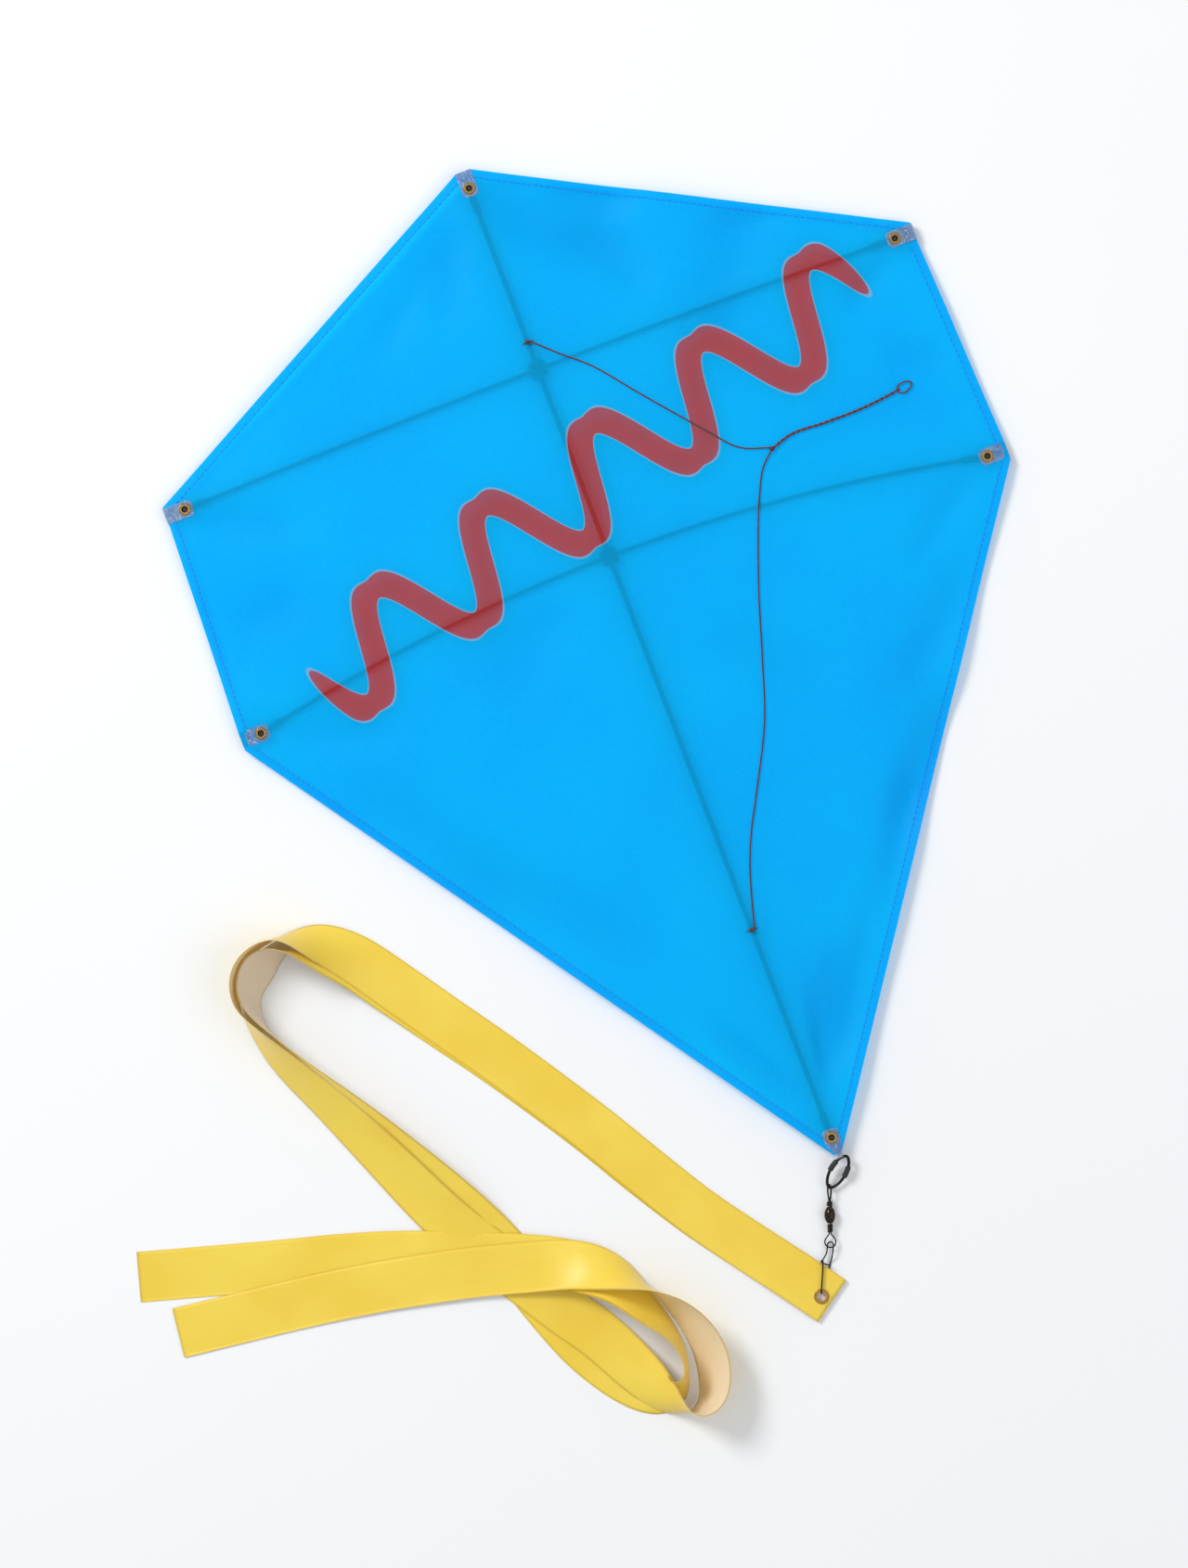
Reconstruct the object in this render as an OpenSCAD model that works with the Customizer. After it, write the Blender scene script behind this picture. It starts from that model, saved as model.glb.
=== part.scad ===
// Six-cornered diamond kite with a spine, two bowed spars, a two-leg bridle and a swivelling ribbon tail.
// Millimetres. It lies bridle side up on its rods. +Y runs along the spine to the nose and +Z is up.
// The origin is the centre of the footprint of the kite and its tail clip, on the surface it lies on.

/* [Sail] */
// Height of the nose edge above the origin
nose_y = 442; // [432:1:452]
// Depth of the tail edge below the origin
tail_y = 348; // [346:1:350]
// Half width across the upper corners
upper_half = 301; // [295:1:310]
// Half width across the lower corners
lower_half = 308; // [300:1:315]
// Thickness of the sail cloth
cloth_t = 0.4; // [0.2:0.1:0.5]
// Width of the folded hem
hem_w = 6.5; // [4:0.5:8]

/* [Frame] */
// Diameter of the spine rod
spine_d = 4; // [3:0.5:4]
// Diameter of the two spars
spar_d = 3; // [2:0.5:3]
// Height of the upper spar's crossing above the origin
upper_y = 284; // [280:1:290]
// Height of the lower spar's crossing above the origin
lower_y = 133; // [128:1:138]
// Bow of the upper spar towards the nose
upper_bow = 4; // [2:1:8]
// Bow of the lower spar towards the nose
lower_bow = 31; // [25:1:36]

/* [Corner fittings] */
// Outer diameter of an eyelet
eyelet_d = 9; // [8:0.5:10]
// Hole of an eyelet
eyelet_hole = 5; // [4.5:0.5:5]
// Width of a clear tab
tab_w = 12.5; // [11:0.5:14]
// Length of a clear tab
tab_l = 22; // [22:0.5:24]

/* [Bridle] */
// Diameter of the bridle cord
cord_d = 1.4; // [1:0.1:1.6]

/* [Tail] */
// Width of the tail ribbon
ribbon_w = 38; // [36:1:40]
// Thickness of the tail ribbon
ribbon_t = 0.5; // [0.3:0.1:0.5]
// Diameter of the swivel barrel
barrel_d = 8.4; // [8:0.1:8.4]
// Outer diameter of the tail grommet
grommet_d = 11.4; // [11:0.2:12]

/* [Hidden] */
$fn = 48;

// Heights of the stack: spars on the surface, then the spine, then the sail
cap_wall = 1;
spar_z = spar_d / 2 + cap_wall;
spine_z = spar_z + spar_d / 2 + spine_d / 2 + 0.2;
ridge_z = spine_z + spine_d / 2 + cap_wall + 1;
// The sail falls from the ridge over the spine to the side corners
corner_drop = 3.4;
upper_eye_x = upper_half - 15;
lower_eye_x = lower_half - 15.4;
slope = corner_drop / upper_eye_x;
slope_deg = atan(slope);
nose_eye_y = nose_y - 13;
tail_eye_y = 13 - tail_y;
upper_eye_y = upper_y - upper_bow;
lower_eye_y = lower_y - lower_bow;

// Eyelet and tab layers, measured from the top of the sail
hem_t = 0.3;
tab_t = 0.35;
leaf_top = 0.05;
leaf_bottom = -cloth_t - hem_t - 0.1;
flange_t = 0.6;
eyelet_wall = 0.4;
tab_inner = 6.3;
eps = 0.01;

// Cloth height over the point x
function sail_top(x) = ridge_z - abs(x) * slope;

// Ring hanging in the fold of the tail tab. It leans down to the height of the swivel.
ring_wire = 1.4;
ring_r = 6;
ring_straight = 15.6;
ring_turn = 42;
ring_reach = ring_straight + ring_r;
ring_fall = ring_r + ring_reach * sin(ring_turn);
fold_x = 1.2;
fold_y = -tail_y - 2.5;
fold_z = ridge_z + (leaf_top + leaf_bottom) / 2;
fold_inner = 1.3;
barrel_z = barrel_d / 2 + 0.1;
ring_tilt = asin((fold_z - barrel_z) / ring_fall);

// Swivel: distances along its axis from the far end of the ring
swivel_x = fold_x - ring_reach * cos(ring_turn);
swivel_y = fold_y - ring_fall * cos(ring_tilt);
swivel_turn = -109.8;
eye_wire = 1.1;
wraps_at = 11;
barrel_at = 20.8;
barrel_l = 12;
lower_eye_at = 41;
lower_eye_r = 4.2;
snap_at = 43.7;

// Snap: its top bend is in the lower eye and its foot stands in the grommet
snap_x = swivel_x + snap_at * cos(swivel_turn);
snap_y = swivel_y + snap_at * sin(swivel_turn);
snap_turn = -121.4;
snap_wire_d = 1;
snap_l = 36.8;
snap_roll = 35;
snap_bend = 2.65;
arm_from = 13;
arm_z = 5.4;
latch_z = arm_z - 1.2;
foot_x = snap_x + snap_l * cos(snap_turn);
foot_y = snap_y + snap_l * sin(snap_turn);
grommet_x = foot_x - 0.6;
grommet_y = foot_y - 2.4;
grommet_hole = 6.7;

// Bridle routes: x, y and lift above the cloth
upper_leg = [
    [2, 305, 1.6], [20, 288, 0.9], [40, 270, 0.9], [65, 239, 0.9], [101, 196, 0.9], [120, 175, 0.9],
    [142, 166, 1.7]
];
lower_leg = [
    [2, -167, 1.6], [8, -146, 0.9], [16, -121, 0.9], [26, -98, 0.9], [38, -76, 0.9], [64, -26, 0.9],
    [80, 20, 0.9], [95, 67, 0.9], [112, 113, 0.9], [122, 136, 0.9], [131, 153, 0.9], [142, 164, 1.7]
];
tow_route = [
    [144, 165, 1.9], [162, 170, 1.4], [188, 169, 1.4], [215, 169, 1.4], [238, 171, 1.4], [249, 173, 1.2]
];

// Streamer routes from the grommet: x, y, height of the middle line's lowest place and roll about the run
upper_run = [
    [6, -6, 3, 0], [-13, 21, 3, 0], [-35, 51, 2, 0], [-64, 92, 1.1, 0], [-91, 137, 1.1, 0],
    [-119, 185, 1.1, 0], [-161, 251, 1.1, 0], [-191, 295, 1.1, 0], [-216, 332, 1.1, 4],
    [-239, 365, 1.1, 18], [-262, 388, 1.1, 50], [-287, 399, 1.1, 92], [-311, 396, 1.1, 98],
    [-326, 383, 1.1, 98], [-332, 362, 1.1, 92], [-326, 337, 1.1, 74], [-315, 309, 1.1, 56],
    [-292, 264, 1.1, 40], [-269, 213, 1.1, 26], [-247, 163, 1.1, 12], [-226, 125, 1.1, 2],
    [-201, 85, 1.1, 0], [-183, 56, 1.1, 0], [-166, 31, 1.1, 4], [-147, -7, 1.1, 20],
    [-135, -32, 1.1, 52], [-121, -46, 1.1, 90], [-106, -42, 1.1, 118], [-96, -25, 1.1, 130],
    [-93, -2, 1.3, 132], [-100, 25, 1.9, 122], [-116, 51, 2.4, 98], [-138, 74, 2.9, 52],
    [-166, 90, 3.6, 18], [-196, 99, 3.9, 5], [-236, 110, 3.8, 0], [-271, 118, 3.2, 0], [-305, 125, 2.5, 0],
    [-347, 132, 1.6, 0], [-391, 138, 1.1, 0], [-463, 147, 1.1, 0]
];
lower_run = [
    [6, -6, 2.3, 0], [-13, 21, 2.3, 0], [-35, 51, 1.3, 0], [-64, 91, 0.4, 0], [-92, 136, 0.4, 0],
    [-120, 184, 0.4, 0], [-162, 249, 0.4, 0], [-193, 293, 0.4, 0], [-218, 329, 0.4, 4],
    [-240, 360, 0.4, 18], [-263, 379, 0.4, 50], [-288, 388, 0.4, 104], [-305, 384, 0.4, 132],
    [-318, 372, 0.4, 124], [-322, 357, 0.4, 104], [-316, 333, 0.4, 84], [-303, 303, 0.4, 70],
    [-277, 255, 0.4, 52], [-251, 204, 0.4, 34], [-227, 153, 0.4, 12], [-211, 115, 0.4, 0],
    [-197, 72, 0.4, 0], [-189, 49, 0.4, 0], [-179, 25, 0.4, 0], [-161, -4, 0.4, 0],
    [-144, -21, 0.4, 12], [-129, -28, 0.4, 40], [-117, -20, 0.4, 82], [-112, -5, 0.6, 84],
    [-114, 15, 1, 78], [-126, 40, 1.4, 58], [-142, 68, 2, 38], [-168, 90, 2.4, 14],
    [-201, 107, 2.7, 2], [-241, 124, 2.6, 0], [-287, 142, 1.7, 0], [-331, 156, 0.7, 0],
    [-375, 168, 0.4, 0], [-476, 197, 0.4, 0]
];

// Vectors
function unit(v) = v / norm(v);
function heading(pts, i) = unit(pts[min(i + 1, len(pts) - 1)] - pts[max(i - 1, 0)]);
function flat_left(d) = unit([-d.y, d.x, 0]);

// Faces of a swept solid with n rings of k points each
function sweep_faces(n, k) = concat(
    [[for (j = [0 : k - 1]) j]],
    [for (i = [0 : n - 2]) for (j = [0 : k - 1])
        let (a = i * k + j, b = i * k + (j + 1) % k) each [[b, a, b + k], [b + k, a, a + k]]],
    [[for (j = [k - 1 : -1 : 0]) (n - 1) * k + j]]
);

// Side directions carried along the points without twisting
function side_way(v, h) = unit(v - (v * h) * h);
function sides_along(pts) = [
    for (i = 0, v = side_way([0.1, 0.2, 1], heading(pts, 0));
        i < len(pts);
        i = i + 1, v = i < len(pts) ? side_way(v, heading(pts, i)) : v) v
];

// Round cord or wire swept along points
module cord(pts, d, sides = 8) {
    ups = sides_along(pts);
    rings = [for (i = [0 : len(pts) - 1])
        let (up = ups[i], left = cross(up, heading(pts, i)))
        for (j = [0 : sides - 1])
        pts[i] + d / 2 * (cos(j * 360 / sides) * left + sin(j * 360 / sides) * up)];
    polyhedron(rings, sweep_faces(len(pts), sides), convexity = 6);
}

// Flat ribbon swept along a route of x, y, height and roll. The roll lifts its left edge.
function ribbon_section(run, i) =
    let (
        pts = [for (p = run) [p.x, p.y, 0]],
        h = heading(pts, i),
        left = flat_left(h),
        roll = run[i][3],
        across = cos(roll) * left + sin(roll) * [0, 0, 1],
        face = cross(h, across),
        middle = [run[i].x, run[i].y, run[i].z + ribbon_w / 2 * abs(sin(roll))]
    )
    [
        middle - ribbon_w / 2 * across - ribbon_t / 2 * face,
        middle + ribbon_w / 2 * across - ribbon_t / 2 * face,
        middle + ribbon_w / 2 * across + ribbon_t / 2 * face,
        middle - ribbon_w / 2 * across + ribbon_t / 2 * face
    ];

// Faces of a ribbon with n rings. Both broad sides split along the same diagonals.
function ribbon_faces(n) = concat(
    [[0, 1, 2, 3]],
    [for (i = [0 : n - 2]) for (j = [0 : 3])
        let (a = i * 4 + j, b = i * 4 + (j + 1) % 4)
        each (j < 2 ? [[b, a, b + 4], [b + 4, a, a + 4]] : [[b, a, a + 4], [b + 4, b, a + 4]])],
    [[for (j = [3 : -1 : 0]) (n - 1) * 4 + j]]
);

module ribbon(run) {
    rings = [for (i = [0 : len(run) - 1]) each ribbon_section(run, i)];
    polyhedron(rings, ribbon_faces(len(run)), convexity = 10);
}

// Sail outline, going round from the nose with +X first
tip_half = 3;
tip_y = -tail_y - tip_half * (lower_y - 39 + tail_y) / (lower_half - tip_half);
right_side = [
    [6, nose_y], [upper_half, upper_y + 3], [upper_half, upper_y - 14],
    [lower_half, lower_y - 24], [lower_half, lower_y - 39]
];
left_side = [for (i = [len(right_side) - 1 : -1 : 0]) [-right_side[i].x, right_side[i].y]];
outline = concat(right_side, [[tip_half, -tail_y], [-tip_half, -tail_y]], left_side);
pointed_outline = concat(right_side, [[0, tip_y]], left_side);

// Crossing of two lines, each given by a point and a direction
function crossing(p, u, q, v) = p + u * ((q.x - p.x) * v.y - (q.y - p.y) * v.x) / (u.x * v.y - u.y * v.x);

// Clockwise convex outline with every edge moved inwards by d
function inset(pts, d) =
    let (n = len(pts))
    [for (i = [0 : n - 1])
        let (
            u = unit(pts[i] - pts[(i + n - 1) % n]),
            v = unit(pts[(i + 1) % n] - pts[i])
        )
        crossing(pts[i] + d * [u.y, -u.x], u, pts[i] + d * [v.y, -v.x], v)];

// Layer of the sloping sail: from top down by t, both measured from the top of the cloth
module roof(top, t) {
    half = lower_half + 10;
    rise = half * slope;
    translate([0, nose_y + 10, ridge_z + top]) rotate([90, 0, 0])
        linear_extrude(nose_y + tail_y + 20)
            polygon([[0, 0], [half, -rise], [half, -rise - t], [0, -t], [-half, -rise - t], [-half, -rise]]);
}

// Holes for the eyelets and the bridle ties
module sail_holes(r) {
    for (side = [-1, 1])
        for (at = [[upper_eye_x, upper_eye_y], [lower_eye_x, lower_eye_y]])
            translate([side * at.x, at.y, 0]) cylinder(h = 20, r = r);
    for (y = [nose_eye_y, tail_eye_y])
        translate([0, y, 0]) cylinder(h = 20, r = r);
}

eyelet_room = eyelet_hole / 2 + eyelet_wall + 0.2;
sail_colour = [0, 0.66, 1];
module sail() {
    color(sail_colour)
        difference() {
            intersection() {
                roof(0, cloth_t);
                linear_extrude(20) polygon(outline);
            }
            sail_holes(eyelet_room);
            for (side = [-1, 1])
                for (y = [tie_upper_y, tie_lower_y])
                    translate([side * tie_hole_x, y, 0]) cylinder(h = 20, r = 1.6);
        }
}

// Edge of the cloth, folded under and stitched down
module sail_hem() {
    color(sail_colour)
        intersection() {
            roof(-cloth_t - 0.01, hem_t);
            linear_extrude(20)
                difference() {
                    polygon(outline);
                    polygon(inset(pointed_outline, hem_w));
                }
        }
}

// Puts its children on one side's sloping panel: side is 1 for right and -1 for left
module on_panel(side) {
    mirror([side < 0 ? 1 : 0, 0, 0]) translate([0, 0, ridge_z]) rotate([0, slope_deg, 0]) children();
}

// Spine rod between its two caps
rod_gap = 8;
module spine() {
    color([0.12, 0.12, 0.13])
        translate([0, tail_eye_y + rod_gap, spine_z]) rotate([-90, 0, 0])
            cylinder(h = nose_eye_y - tail_eye_y - 2 * rod_gap, d = spine_d);
}

// Radius of an arc from its half chord and its bow
function arc_r(half, bow) = (half * half + bow * bow) / (2 * bow);

// Bowed rod, an arc with its middle at y
module bowed_rod(half, bow, y) {
    r = arc_r(half, bow);
    a = asin((half - rod_gap) / r);
    translate([0, y - r, spar_z]) rotate([0, 0, 90 - a])
        rotate_extrude(angle = 2 * a, $fn = 1440) translate([r, 0]) circle(d = spar_d, $fn = 24);
}

module upper_spar() { color([0.12, 0.12, 0.13]) bowed_rod(upper_eye_x, upper_bow, upper_y); }
module lower_spar() { color([0.12, 0.12, 0.13]) bowed_rod(lower_eye_x, lower_bow, lower_y); }

// Moulded end cap. The rod comes in along -X and the nib stands up through the eyelet at the origin.
cap_l = 12;
module end_cap(rod, axis_z, nib_top, lean = 0) {
    sleeve_end = rod_gap - 1;
    r = rod / 2 + cap_wall;
    tongue_top = axis_z + 1.2;
    rotate([0, 0, lean])
        difference() {
            translate([-sleeve_end - cap_l, 0, axis_z]) rotate([0, 90, 0]) cylinder(h = cap_l, r = r);
            translate([-sleeve_end - cap_l - 1, 0, axis_z]) rotate([0, 90, 0])
                cylinder(h = cap_l, r = rod / 2 + 0.02);
        }
    translate([0, 0, axis_z - 1.2]) cylinder(h = 2.4, r = 2.6);
    translate([-sleeve_end - 0.4, -1.8, axis_z - 1.2]) cube([sleeve_end + 0.4, 3.6, 2.4]);
    translate([0, 0, tongue_top - eps]) cylinder(h = nib_top - tongue_top, r = 1.6);
}

cap_colour = [0.08, 0.08, 0.09];
module side_cap(side, x, y, half, bow) {
    lean = -asin((half - rod_gap) / arc_r(half, bow));
    color(cap_colour) mirror([side < 0 ? 1 : 0, 0, 0])
        translate([x, y, 0]) end_cap(spar_d, spar_z, sail_top(x) - 0.4, lean);
}

module upper_left_cap() { side_cap(-1, upper_eye_x, upper_eye_y, upper_eye_x, upper_bow); }
module upper_right_cap() { side_cap(1, upper_eye_x, upper_eye_y, upper_eye_x, upper_bow); }
module lower_left_cap() { side_cap(-1, lower_eye_x, lower_eye_y, lower_eye_x, lower_bow); }
module lower_right_cap() { side_cap(1, lower_eye_x, lower_eye_y, lower_eye_x, lower_bow); }
module nose_cap() {
    color(cap_colour) translate([0, nose_eye_y, 0]) rotate([0, 0, 90])
        end_cap(spine_d, spine_z, ridge_z - 0.4);
}
module tail_cap() {
    color(cap_colour) translate([0, tail_eye_y, 0]) rotate([0, 0, -90])
        end_cap(spine_d, spine_z, ridge_z - 0.4);
}

// Moulded saddle: the spine runs through it and the spar clicks into its open slot from below
saddle_l = 12;
module saddle(y) {
    color([0.1, 0.1, 0.11]) translate([0, y, 0])
        difference() {
            union() {
                translate([-saddle_l / 2, -saddle_l / 2, 0]) cube([saddle_l, saddle_l, spine_z]);
                translate([0, -saddle_l / 2, spine_z]) rotate([-90, 0, 0])
                    cylinder(h = saddle_l, r = spine_d / 2 + cap_wall);
            }
            translate([0, -saddle_l, spine_z]) rotate([-90, 0, 0])
                cylinder(h = 2 * saddle_l, r = spine_d / 2 + 0.02);
            translate([-saddle_l, 0, spar_z]) rotate([0, 90, 0])
                cylinder(h = 2 * saddle_l, r = spar_d / 2 + 0.1);
            translate([-saddle_l, -spar_d / 2 - 0.1, -1]) cube([2 * saddle_l, spar_d + 0.2, spar_z + 1]);
        }
}

module upper_saddle() { saddle(upper_y); }
module lower_saddle() { saddle(lower_y); }

// Clear tab folded round the edge of the sail at +X, with the eyelet hole at the origin
tab_colour = [0.8, 0.88, 0.95, 0.6];
module tab_outline() {
    outer = tab_l - tab_inner;
    chamfer = 2.5;
    polygon([
        [-tab_inner, -tab_w / 2 + chamfer], [-tab_inner + chamfer, -tab_w / 2], [outer, -tab_w / 2],
        [outer, tab_w / 2], [-tab_inner + chamfer, tab_w / 2], [-tab_inner, tab_w / 2 - chamfer]
    ]);
}

module tab_leaf(z) {
    translate([0, 0, z])
        linear_extrude(tab_t)
            difference() {
                tab_outline();
                circle(r = eyelet_hole / 2 + eyelet_wall + 0.1);
            }
}

module side_tab(side, x, y) {
    outer = tab_l - tab_inner;
    color(tab_colour) on_panel(side) translate([x, y, 0]) {
        tab_leaf(leaf_top);
        tab_leaf(leaf_bottom - tab_t);
        translate([outer - 0.02, -tab_w / 2, leaf_bottom - tab_t])
            cube([tab_t, tab_w, leaf_top - leaf_bottom + 2 * tab_t]);
    }
}

module upper_left_tab() { side_tab(-1, upper_eye_x, upper_eye_y); }
module upper_right_tab() { side_tab(1, upper_eye_x, upper_eye_y); }
module lower_left_tab() { side_tab(-1, lower_eye_x, lower_eye_y); }
module lower_right_tab() { side_tab(1, lower_eye_x, lower_eye_y); }

module nose_tab() {
    nose_l = nose_y - nose_eye_y + 0.6;
    color(tab_colour) translate([0, nose_eye_y, ridge_z]) rotate([0, 0, 90])
        intersection() {
            union() {
                tab_leaf(leaf_top);
                tab_leaf(leaf_bottom - tab_t);
                translate([nose_l - tab_t, -tab_w / 2, leaf_bottom - tab_t])
                    cube([tab_t, tab_w, leaf_top - leaf_bottom + 2 * tab_t]);
            }
            translate([-20, -20, -5]) cube([20 + nose_l, 40, 10]);
        }
}

// The tail tab narrows to a round fold that the ring hangs in
module tail_tab() {
    fold_at = tail_eye_y - fold_y;
    outer_r = fold_inner + tab_t;
    half = 2;
    color(tab_colour) translate([0, tail_eye_y, ridge_z]) rotate([0, 0, -90]) {
        difference() {
            union() {
                for (z = [leaf_top, leaf_bottom - tab_t])
                    translate([0, 0, z])
                        linear_extrude(tab_t)
                            polygon([
                                [-tab_inner, -tab_w / 2 + 2], [-tab_inner + 2, -tab_w / 2], [4, -tab_w / 2],
                                [fold_at - 1.2, fold_x - half], [fold_at - 1.2, fold_x + half],
                                [4, tab_w / 2], [-tab_inner + 2, tab_w / 2], [-tab_inner, tab_w / 2 - 2]
                            ]);
                translate([fold_at, fold_x - half, fold_z - ridge_z]) rotate([-90, 0, 0])
                    cylinder(h = 2 * half, r = outer_r);
            }
            translate([0, 0, -3]) cylinder(h = 6, r = eyelet_hole / 2 + eyelet_wall + 0.1);
            translate([fold_at, fold_x - half - 1, fold_z - ridge_z]) rotate([-90, 0, 0])
                cylinder(h = 2 * half + 2, r = fold_inner);
        }
    }
}

// Two-part metal eyelet rolled over the tab, centred on the origin
module eyelet_shape(d, hole, top, bottom) {
    rim = flange_t / 2;
    rotate_extrude() {
        translate([hole / 2, bottom - flange_t]) square([eyelet_wall, top - bottom + 2 * flange_t]);
        for (z = [top, bottom - flange_t]) {
            translate([hole / 2, z]) square([(d - hole) / 2 - rim, flange_t]);
            translate([d / 2 - rim, z + rim]) circle(r = rim, $fn = 16);
        }
    }
}

eyelet_colour = [0.72, 0.55, 0.28];
module eyelet() {
    color(eyelet_colour)
        eyelet_shape(eyelet_d, eyelet_hole, leaf_top + tab_t + 0.02, leaf_bottom - tab_t - 0.02);
}

module side_eyelet(side, x, y) { on_panel(side) translate([x, y, 0]) eyelet(); }
module upper_left_eyelet() { side_eyelet(-1, upper_eye_x, upper_eye_y); }
module upper_right_eyelet() { side_eyelet(1, upper_eye_x, upper_eye_y); }
module lower_left_eyelet() { side_eyelet(-1, lower_eye_x, lower_eye_y); }
module lower_right_eyelet() { side_eyelet(1, lower_eye_x, lower_eye_y); }
module nose_eyelet() { translate([0, nose_eye_y, ridge_z]) eyelet(); }
module tail_eyelet() { translate([0, tail_eye_y, ridge_z]) eyelet(); }

// Loop of cord round the spine, through two holes in the sail, with its knot on top
tie_upper_y = 305;
tie_lower_y = -168;
tie_r = 5;
tie_hole_x = 3.2;
cord_colour = [0.2, 0.08, 0.07];
module bridle_tie(y) {
    color(cord_colour) translate([0, y, spine_z]) rotate([90, 0, 0])
        rotate_extrude() translate([tie_r, 0]) circle(d = cord_d, $fn = 24);
}

module knot(x, y, lift, r) {
    color(cord_colour) translate([x, y, sail_top(x) + lift]) sphere(r = r);
}

module upper_bridle_tie() { bridle_tie(tie_upper_y); }
module lower_bridle_tie() { bridle_tie(tie_lower_y); }
module upper_leg_knot() { knot(0, tie_upper_y, 2, 1.9); }
module lower_leg_knot() { knot(0, tie_lower_y, 2, 1.9); }
module bridle_knot() { knot(143, 165, 2.15, 2); }

function on_cloth(route) = [for (p = route) [p.x, p.y, sail_top(p.x) + p.z]];
module bridle_upper_leg() { color(cord_colour) cord(on_cloth(upper_leg), cord_d); }
module bridle_lower_leg() { color(cord_colour) cord(on_cloth(lower_leg), cord_d); }
module tow_line() { color(cord_colour) cord(on_cloth(tow_route), 2 * cord_d - 0.4); }

tow_x = 253;
tow_y = 173;
tow_loop_r = 4.6;
module tow_loop() {
    color(cord_colour) translate([tow_x, tow_y, sail_top(tow_x) + 1.1])
        rotate_extrude() translate([tow_loop_r, 0]) circle(d = cord_d, $fn = 24);
}

// Oval ring lying in its own plane, with the point that hangs in the fold at the origin
module in_ring_frame() {
    translate([fold_x, fold_y, fold_z]) rotate([ring_tilt, 0, 0])
        translate([0, -ring_r, 0]) rotate([0, 0, ring_turn]) children();
}

module tail_ring() {
    color([0.06, 0.06, 0.07]) in_ring_frame() {
        for (end = [0, 1])
            translate([-end * ring_straight, 0, 0]) rotate([0, 0, end * 180 - 90])
                rotate_extrude(angle = 180) translate([ring_r, 0]) circle(d = ring_wire, $fn = 24);
        for (side = [-1, 1])
            translate([-ring_straight, side * ring_r, 0]) rotate([0, 90, 0])
                cylinder(h = ring_straight, d = ring_wire);
    }
}

// Two short sleeves that close the ring's joints
module ring_sleeves() {
    sleeve_d = 2.4;
    color([0.05, 0.05, 0.05]) in_ring_frame()
        for (side = [-1, 1])
            translate([-9, side * ring_r, 0]) rotate([0, 90, 0])
                difference() {
                    cylinder(h = 8, d = sleeve_d);
                    translate([0, 0, -1]) cylinder(h = 10, d = ring_wire);
                }
}

// Swivel axis: +X runs from the ring to the snap, the upper eye's bend is centred on the origin
module in_swivel_frame() {
    translate([swivel_x, swivel_y, barrel_z]) rotate([0, 0, swivel_turn]) children();
}

// Close turns of wire round the stem
module wraps(x, turns) {
    translate([x, 0, 0]) rotate([0, 90, 0]) cylinder(h = turns * eye_wire, d = stem_d + 2 * eye_wire);
}

stem_d = 1.3;
head_d = 3.6;
module stem(from, to, head) {
    translate([from, 0, 0]) rotate([0, 90, 0]) cylinder(h = to - from, d = stem_d);
    translate([head, 0, 0]) rotate([0, 90, 0]) cylinder(h = 1.2, d = head_d);
}

module swivel_upper_eye() {
    bend_r = 1.7;
    run = 6;
    color([0.16, 0.14, 0.13]) in_swivel_frame() {
        rotate([90, 0, 0]) {
            rotate([0, 0, 90]) rotate_extrude(angle = 180) translate([bend_r, 0]) circle(d = eye_wire, $fn = 24);
            for (side = [-1, 1])
                translate([0, side * bend_r, 0]) rotate([0, 90, 0]) cylinder(h = run, d = eye_wire);
        }
        translate([run - 0.2, 0, 0]) rotate([0, 90, 0]) cylinder(h = 1.2, r = bend_r + eye_wire);
        wraps(wraps_at, 3);
        stem(run, barrel_at - barrel_l / 2 + 2.4, barrel_at - barrel_l / 2 + 1.6);
    }
}

module swivel_barrel() {
    color([0.1, 0.09, 0.09]) in_swivel_frame() translate([barrel_at, 0, 0])
        rotate([0, 90, 0])
            difference() {
                union() {
                    cylinder(h = barrel_l - 4, d = barrel_d, center = true);
                    for (side = [-1, 1])
                        translate([0, 0, side * (barrel_l - 4) / 2]) rotate([side < 0 ? 180 : 0, 0, 0])
                            cylinder(h = 2, d1 = barrel_d, d2 = 4.6);
                }
                cylinder(h = barrel_l + 2, d = stem_d + 0.1, center = true);
                cylinder(h = barrel_l - 2.6, d = head_d + 0.6, center = true);
            }
}

module swivel_lower_eye() {
    neck = barrel_at + barrel_l / 2;
    ring_start = lower_eye_at - lower_eye_r;
    color([0.16, 0.14, 0.13]) in_swivel_frame() {
        stem(neck - 2.4, ring_start, neck - 2.8);
        wraps(neck + 0.8, 7);
        translate([lower_eye_at, 0, 0])
            rotate_extrude() translate([lower_eye_r, 0]) circle(d = 1, $fn = 24);
    }
}

// Snap frame: +X runs from the lower eye to the grommet, the top bend is centred on the origin
module in_snap_frame() {
    translate([snap_x, snap_y, barrel_z]) rotate([0, 0, snap_turn]) children();
}

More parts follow.
